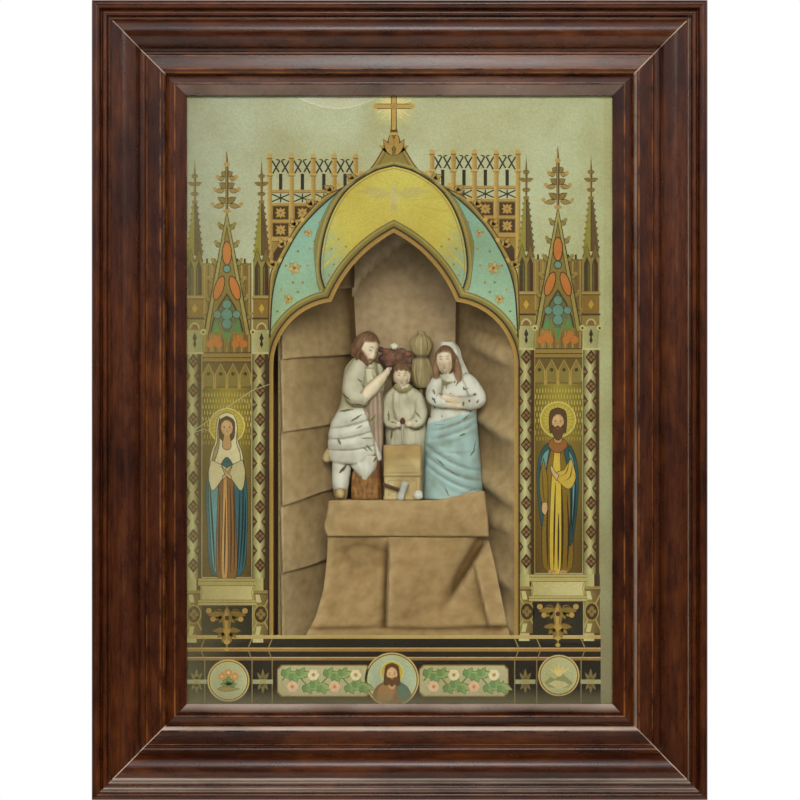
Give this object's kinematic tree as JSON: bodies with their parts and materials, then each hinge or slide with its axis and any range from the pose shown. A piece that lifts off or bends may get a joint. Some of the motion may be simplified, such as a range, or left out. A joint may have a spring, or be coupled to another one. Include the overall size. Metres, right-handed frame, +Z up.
{
  "type": "retablo box",
  "caption": "Wall-hung glazed box picture: moulded wood frame, printed card with a cut-out arch, and a cloth-lined niche with a small painted bisque group on a draped shelf.",
  "frame": {"origin": "middle of the rear edge of the top case board, in the plane of the wall", "axes": "+X to the right seen from the front, +Y into the wall, +Z up"},
  "size_m": [0.508, 0.1346, 0.66],
  "materials": {
    "stained_wood": "glossy dark red-brown stain and varnish, worn on the arrises",
    "pine": "planed softwood, darkened with age",
    "back_pine": "thin softwood board, darkened with age",
    "window_glass": "thin drawn window glass",
    "printed_card": "colour-printed card, matt, slightly yellowed",
    "strawboard": "raw strawboard",
    "lining_cotton": "plain-weave brown cotton",
    "shelf_cotton": "plain-weave tan cotton",
    "painted_bisque": "unglazed bisque painted in cream, blue, brown and olive",
    "cut_nail_iron": "dull iron",
    "hanger_brass": "tarnished brass"
  },
  "bodies": {
    "box": {"back_board": "back_pine", "back_brads": "cut_nail_iron", "bottom_rail": "stained_wood", "bottom_slip": "stained_wood", "case_bottom": "pine", "case_left": "pine", "case_nails": "cut_nail_iron", "case_right": "pine", "case_top": "pine", "child_figure": "painted_bisque", "chisel": "painted_bisque", "distaff_rod": "painted_bisque", "flax_bundle": "painted_bisque", "glass_pane": "window_glass", "glue_blocks": "pine", "hammer_handle": "painted_bisque", "hammer_head": "painted_bisque", "hanger_plate_left": "hanger_brass", "hanger_plate_right": "hanger_brass", "hanger_screws": "hanger_brass", "left_slip": "stained_wood", "left_stile": "stained_wood", "lining_back": "lining_cotton", "lining_left": "lining_cotton", "lining_right": "lining_cotton", "man_figure": "painted_bisque", "mitre_nails": "cut_nail_iron", "mount_board": "strawboard", "niche_former": "strawboard", "plinth": "pine", "print_card": "printed_card", "right_slip": "stained_wood", "right_stile": "stained_wood", "shelf_board": "pine", "shelf_cloth": "shelf_cotton", "skirt_cloth": "shelf_cotton", "top_rail": "stained_wood", "top_slip": "stained_wood", "vine_bush": "painted_bisque", "woman_figure": "painted_bisque", "workbench": "painted_bisque", "yarn_ball": "painted_bisque"},
    "ring_left": {"hanger_ring_left": "hanger_brass"},
    "ring_right": {"hanger_ring_right": "hanger_brass"}
  },
  "joints": [
    {"name": "ring_left_swing", "type": "hinge", "parent": "box", "child": "ring_left", "pos_m": [-0.11, -0.00882, -0.0585], "axis": [1, 0, 0], "range_deg": [0, 175]},
    {"name": "ring_right_swing", "type": "hinge", "parent": "box", "child": "ring_right", "pos_m": [0.11, -0.00882, -0.0585], "axis": [1, 0, 0], "range_deg": [0, 175]}
  ]
}
